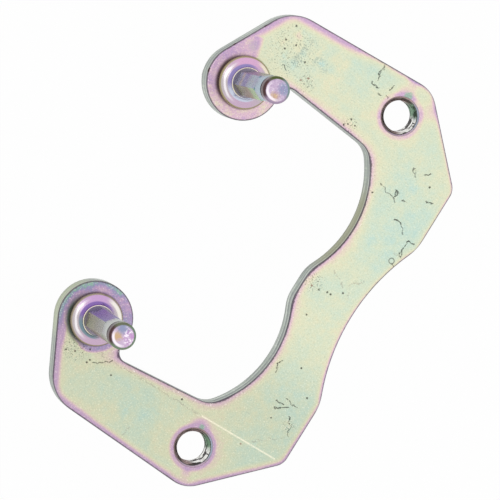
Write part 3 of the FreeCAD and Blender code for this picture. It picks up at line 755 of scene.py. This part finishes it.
def pin_material(end, y):
    """Makes the coat of one guide pin, darker than the plate and banded by its turned steps and flats."""
    paint = Paint(bpy.data.materials.new(f"{end.capitalize()} pin zinc"))
    height = paint.z - FRONT
    radius, turn = paint.around(PIN_X, y)
    fine = paint.noise(1.6, 4.0, 0.65)
    mottle = paint.noise(0.8, 3.0, 0.6)
    cloud = paint.noise(0.25, 3.0, 0.6)
    grain = paint.noise(2.4, 3.0, 0.7)
    flange = pin_flange(paint, end, height, radius, turn, cloud)
    shank = pin_shank(paint, end, height, turn, (fine, mottle, grain))
    # Painted shade: the groove is dark, darkest in the sector at 20 degrees.
    groove = paint.mix(paint.sector(turn, 20.0, 60.0, 30.0), linear(96, 96, 76), linear(60, 44, 40))
    button = pin_button(paint, end, y, height, radius, turn, cloud, fine)
    past_foot = paint.step(height, SHANK_FOOT - 0.3, SHANK_FOOT - 0.1) * paint.step(radius, 4.7, 4.6)
    colour = paint.mix(past_foot, flange, shank)
    recess = paint.band(height, SHANK_FOOT - 0.3, SHANK_FOOT + 0.2, 0.05) * paint.step(radius, 4.95, 4.9)
    colour = paint.mix(recess, colour, linear(150, 142, 158))
    colour = paint.mix(paint.step(height, GROOVE_START - 0.3, GROOVE_START + 0.1), colour, groove)
    colour = paint.mix(paint.step(height, BUTTON_START - 0.2, BUTTON_START + 0.2), colour, button)
    tail = paint.mix(cloud + 0.5, linear(176, 180, 172), linear(196, 180, 196))
    colour = paint.mix(paint.step(height, -0.2, -0.6), colour, tail)
    normal = paint.bump(grain, 0.015, 0.5)
    return paint.finish(colour, 0.85, 0.26 + fine * 0.2, normal)


def give(obj, material):
    """Makes a material the only one of an object."""
    obj.data.materials.clear()
    obj.data.materials.append(material)


def profile(mesh, corners):
    """Draws a profile of (radius, height, rounding) corners in the plane of X and Z, and rounds them."""
    verts = [mesh.verts.new((radius * MM, 0, height * MM)) for radius, height, _ in corners]
    for first, second in zip(verts, verts[1:]):
        mesh.edges.new((first, second))
    for vert, (_, _, rounding) in zip(verts, corners):
        if rounding:
            bmesh.ops.bevel(
                mesh, geom=[vert], offset=rounding * MM, offset_type="OFFSET", affect="VERTICES",
                segments=ROUNDING_STEPS, profile=0.5, material=-1)


def piece(name, mesh, material):
    """Turns a bmesh into a smooth object that rides on the bracket."""
    bmesh.ops.remove_doubles(mesh, verts=mesh.verts, dist=MERGE_DISTANCE)
    bmesh.ops.recalc_face_normals(mesh, faces=mesh.faces)
    data = bpy.data.meshes.new(name)
    mesh.to_mesh(data)
    mesh.free()
    data.shade_smooth()
    data.set_sharp_from_angle(angle=SHARP_ANGLE)
    obj = bpy.data.objects.new(name, data)
    bpy.context.scene.collection.objects.link(obj)
    give(obj, material)
    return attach(obj, "root")


def guide_pin(name, y, flat_angle, sizes, material):
    """Turns a pin from bar, mills its six flats and sets it in its ear."""
    mesh = bmesh.new()
    profile(mesh, PIN_PROFILE)
    mesh.transform(Matrix.Rotation(math.radians(flat_angle), 4, "Z"))
    bmesh.ops.spin(
        mesh, geom=mesh.verts[:] + mesh.edges[:], cent=(0, 0, 0), axis=(0, 0, 1), angle=math.tau,
        steps=PIN_STEPS, use_merge=True)
    low, high = SHANK_FOOT * MM, NECK_START * MM
    for vert in mesh.verts:
        on_shank = sizes.flat_radius < vert.co.xy.length < SHANK_RADIUS * MM + EDGE
        if on_shank and low - EDGE < vert.co.z < high + EDGE:
            turn = math.atan2(vert.co.y, vert.co.x) - math.radians(flat_angle)
            turn = (turn + SIXTH / 2) % SIXTH - SIXTH / 2
            reach = min(vert.co.xy.length, sizes.flat_radius / math.cos(turn))
            vert.co.xy *= reach / vert.co.xy.length
    bmesh.ops.translate(mesh, vec=(PIN_X * MM, y * MM, FRONT * MM), verts=mesh.verts)
    return piece(name, mesh, material)


def thread(name, y, sizes, material):
    """Winds the ridge of a mounting thread, cut back to the cone at each mouth of its hole."""
    mesh = bmesh.new()
    root = sizes.thread_radius + THREAD_ROOT * MM
    crest = sizes.thread_radius - sizes.thread_depth
    pitch = sizes.thread_pitch
    low = -(FRONT * MM + pitch / 2)
    section = [(root, -RIDGE_ROOT), (crest, -RIDGE_CREST), (crest, RIDGE_CREST), (root, RIDGE_ROOT)]
    verts = [mesh.verts.new((radius, 0, low + share * pitch)) for radius, share in section]
    face = mesh.faces.new(verts)
    turns = -2 * low / pitch
    steps = round(turns * THREAD_STEPS)
    bmesh.ops.spin(
        mesh, geom=[face, *face.edges, *verts], cent=(0, 0, 0), axis=(0, 0, 1),
        dvec=(0, 0, -2 * low / steps), angle=turns * math.tau, steps=steps)
    for vert in mesh.verts:
        mouth = sizes.thread_mouth + vert.co.xy.length - sizes.thread_radius
        vert.co.z = max(-mouth, min(mouth, vert.co.z))
    bmesh.ops.translate(mesh, vec=(0, y * MM, 0), verts=mesh.verts)
    return piece(name, mesh, material)


class BRACKET_OT_plate(bpy.types.Operator):
    """Coat the plate"""

    bl_idname = "bracket.plate"
    bl_label = "Coat Plate"

    def execute(self, context):
        give(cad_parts["bracket_plate"], plate_material(context.scene.bracket_colours))
        return {"FINISHED"}


class BRACKET_OT_pins(bpy.types.Operator):
    """Coat the pins"""

    bl_idname = "bracket.pins"
    bl_label = "Coat Pins"

    def execute(self, context):
        sizes = context.scene.bracket_sizes
        for end, y in (("upper", PIN_Y), ("lower", -PIN_Y)):
            pin = guide_pin(f"{end}_turned_pin", y, FLAT_ANGLES[end], sizes, pin_material(end, y))
            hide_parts(f"{end}_guide_pin")
        return {"FINISHED"}


class BRACKET_OT_threads(bpy.types.Operator):
    """Cut the mounting threads"""

    bl_idname = "bracket.threads"
    bl_label = "Cut Threads"

    def execute(self, context):
        sizes = context.scene.bracket_sizes
        for end, y in (("upper", HALF_HOLES), ("lower", -HALF_HOLES)):
            thread(f"{end}_mounting_thread", y, sizes, thread_material(end, y))
        return {"FINISHED"}


class BRACKET_OT_stage(bpy.types.Operator):
    """Set up the floor, the lights and the camera"""

    bl_idname = "bracket.stage"
    bl_label = "Set Stage"

    def execute(self, context):
        scene = context.scene
        floor = bpy.data.meshes.new("Floor")
        mesh = bmesh.new()
        bmesh.ops.create_grid(mesh, x_segments=1, y_segments=1, size=FLOOR_SIZE)
        low = min(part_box(node)[0].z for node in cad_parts)
        bmesh.ops.translate(mesh, vec=(0, 0, low - FLOOR_GAP), verts=mesh.verts)
        mesh.to_mesh(floor)
        mesh.free()
        floor = bpy.data.objects.new("Floor", floor)
        scene.collection.objects.link(floor)
        give(floor, self.floor_material())

        scene.world = bpy.data.worlds.new("Studio")
        air = Nodes(scene.world)
        soft = air.node("ShaderNodeBackground", {}, {0: (1, 1, 1, 1), 1: DIFFUSE_LIGHT})
        white = air.node("ShaderNodeBackground", {}, {0: (1, 1, 1, 1), 1: 1.0})
        mixed = air.node("ShaderNodeMixShader", {}, {
            0: self.seen(air), 1: soft.outputs[0], 2: white.outputs[0]})
        air.node("ShaderNodeOutputWorld", {}, {0: mixed.outputs[0]})

        for name, place, size, power in LAMPS:
            lamp = bpy.data.lights.new(name, "AREA")
            lamp.shape = "DISK"
            lamp.size = size
            lamp.energy = power
            obj = bpy.data.objects.new(name, lamp)
            obj.location = place
            obj.rotation_mode = "QUATERNION"
            obj.rotation_quaternion = (-Vector(place)).to_track_quat("-Z", "Y")
            scene.collection.objects.link(obj)

        lens = bpy.data.cameras.new("Camera")
        lens.sensor_width = 36.0
        lens.lens = FOCAL_LENGTH
        lens.clip_start = 0.1
        lens.clip_end = 20.0
        camera = bpy.data.objects.new("Camera", lens)
        turn = Matrix((CAMERA_RIGHT, CAMERA_UP, CAMERA_BACK)).transposed().to_4x4()
        camera.matrix_world = Matrix.Translation(CAMERA_PLACE) @ turn
        scene.collection.objects.link(camera)
        scene.camera = camera
        scene.view_settings.view_transform = "Standard"
        return {"FINISHED"}

    def seen(self, nodes):
        """Is 1 for rays that should meet a white studio: those of the camera, of gloss and through glass."""
        rays = nodes.node("ShaderNodeLightPath").outputs
        kinds = ("Is Camera Ray", "Is Glossy Ray", "Is Transmission Ray")
        return nodes.most(*(Field(nodes, rays[kind]) for kind in kinds))

    def floor_material(self):
        """Makes a white floor that still takes a soft shadow."""
        nodes = Nodes(bpy.data.materials.new("Floor"))
        matt = nodes.node("ShaderNodeBsdfDiffuse", {}, {0: (FLOOR_GREY, FLOOR_GREY, FLOOR_GREY, 1)})
        glow = nodes.node("ShaderNodeEmission", {}, {0: (1, 1, 1, 1), 1: 1.0})
        mixed = nodes.node("ShaderNodeMixShader", {}, {
            0: self.seen(nodes) * FLOOR_GLOW, 1: matt.outputs[0], 2: glow.outputs[0]})
        nodes.node("ShaderNodeOutputMaterial", {}, {0: mixed.outputs[0]})
        return nodes.owner


class BRACKET_PT_panel(bpy.types.Panel):
    """Lists the bracket's tools"""

    bl_label = "Brake Caliper Bracket"
    bl_idname = "BRACKET_PT_panel"
    bl_space_type = "VIEW_3D"
    bl_region_type = "UI"
    bl_category = "Bracket"

    def draw(self, context):
        for tool in (BRACKET_OT_plate, BRACKET_OT_pins, BRACKET_OT_threads, BRACKET_OT_stage):
            self.layout.operator(tool.bl_idname)


CLASSES = (
    BracketSizes, BracketColours, BRACKET_OT_plate, BRACKET_OT_pins, BRACKET_OT_threads, BRACKET_OT_stage,
    BRACKET_PT_panel)


def register():
    for item in CLASSES:
        bpy.utils.register_class(item)
    bpy.types.Scene.bracket_sizes = PointerProperty(type=BracketSizes)
    bpy.types.Scene.bracket_colours = PointerProperty(type=BracketColours)


def unregister():
    del bpy.types.Scene.bracket_colours
    del bpy.types.Scene.bracket_sizes
    for item in reversed(CLASSES):
        bpy.utils.unregister_class(item)


def main():
    """Dresses the bracket."""
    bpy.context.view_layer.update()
    register()
    bpy.ops.bracket.plate()
    bpy.ops.bracket.pins()
    bpy.ops.bracket.threads()
    bpy.ops.bracket.stage()


if __name__ == "__main__":
    main()
